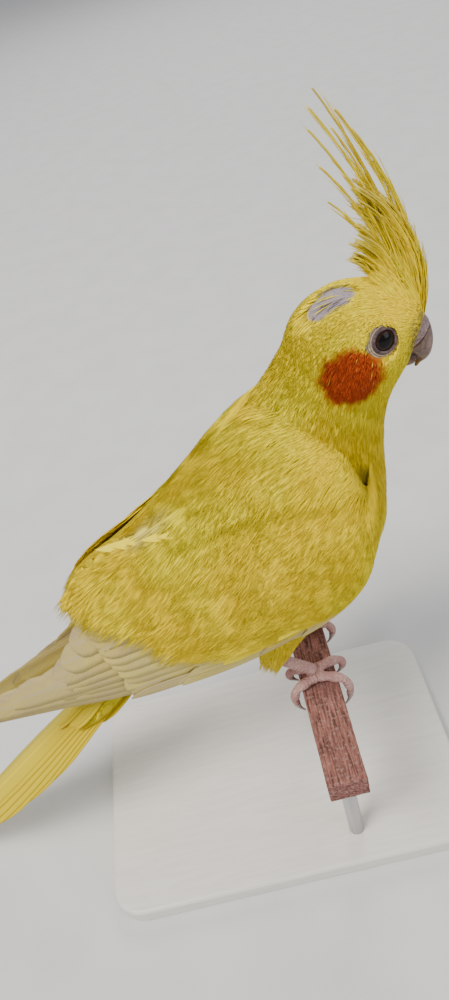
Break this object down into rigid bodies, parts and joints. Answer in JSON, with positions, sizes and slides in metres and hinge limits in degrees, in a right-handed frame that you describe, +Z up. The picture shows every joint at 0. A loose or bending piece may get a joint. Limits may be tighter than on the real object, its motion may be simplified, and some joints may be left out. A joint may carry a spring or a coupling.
{
  "type": "perched lutino cockatiel model",
  "caption": "Still, life-size lutino cockatiel with raised crest, gripping a short wooden perch on a plain flat-based stand.",
  "frame": {"origin": "centre of the stand base's underside, on the surface it stands on", "axes": "+X the way the bird faces, +Y to the bird's left along the perch, +Z up"},
  "size_m": [0.237, 0.112, 0.2772],
  "materials": {
    "yellow_feathers": "soft overlapping lemon to golden yellow body feathers, orange-red patch on the cheek",
    "flight_feathers": "smooth cream-white flight feathers flushed with pale yellow under yellow coverts",
    "tail_feathers": "smooth lemon yellow tail feathers with paler edges",
    "horn": "smooth grey-brown horn, paler and amber at the bill's tip",
    "bare_skin": "fleshy grey-pink cere",
    "scaly_skin": "dull pink-brown scaled skin",
    "eye": "wet, glossy near-black eye",
    "perch_wood": "dark red-brown rough-sawn wood",
    "base_wood": "pale satin-painted board",
    "stand_steel": "satin steel rod"
  },
  "bodies": {
    "root": {"head": "yellow_feathers", "crest": "yellow_feathers", "neck": "yellow_feathers", "torso": "yellow_feathers", "tail": "tail_feathers", "cere": "bare_skin", "bill_upper": "horn", "bill_lower": "horn", "perch": "perch_wood", "stand_base": "base_wood", "stand_rod_front": "stand_steel", "stand_rod_back": "stand_steel", "eye_left": "eye", "wing_left": "flight_feathers", "thigh_left": "yellow_feathers", "foot_left": "scaly_skin", "claw_left_front_inner": "horn", "claw_left_front_outer": "horn", "claw_left_rear_inner": "horn", "claw_left_rear_outer": "horn", "eye_right": "eye", "wing_right": "flight_feathers", "thigh_right": "yellow_feathers", "foot_right": "scaly_skin", "claw_right_front_inner": "horn", "claw_right_front_outer": "horn", "claw_right_rear_inner": "horn", "claw_right_rear_outer": "horn"}
  },
  "joints": []
}
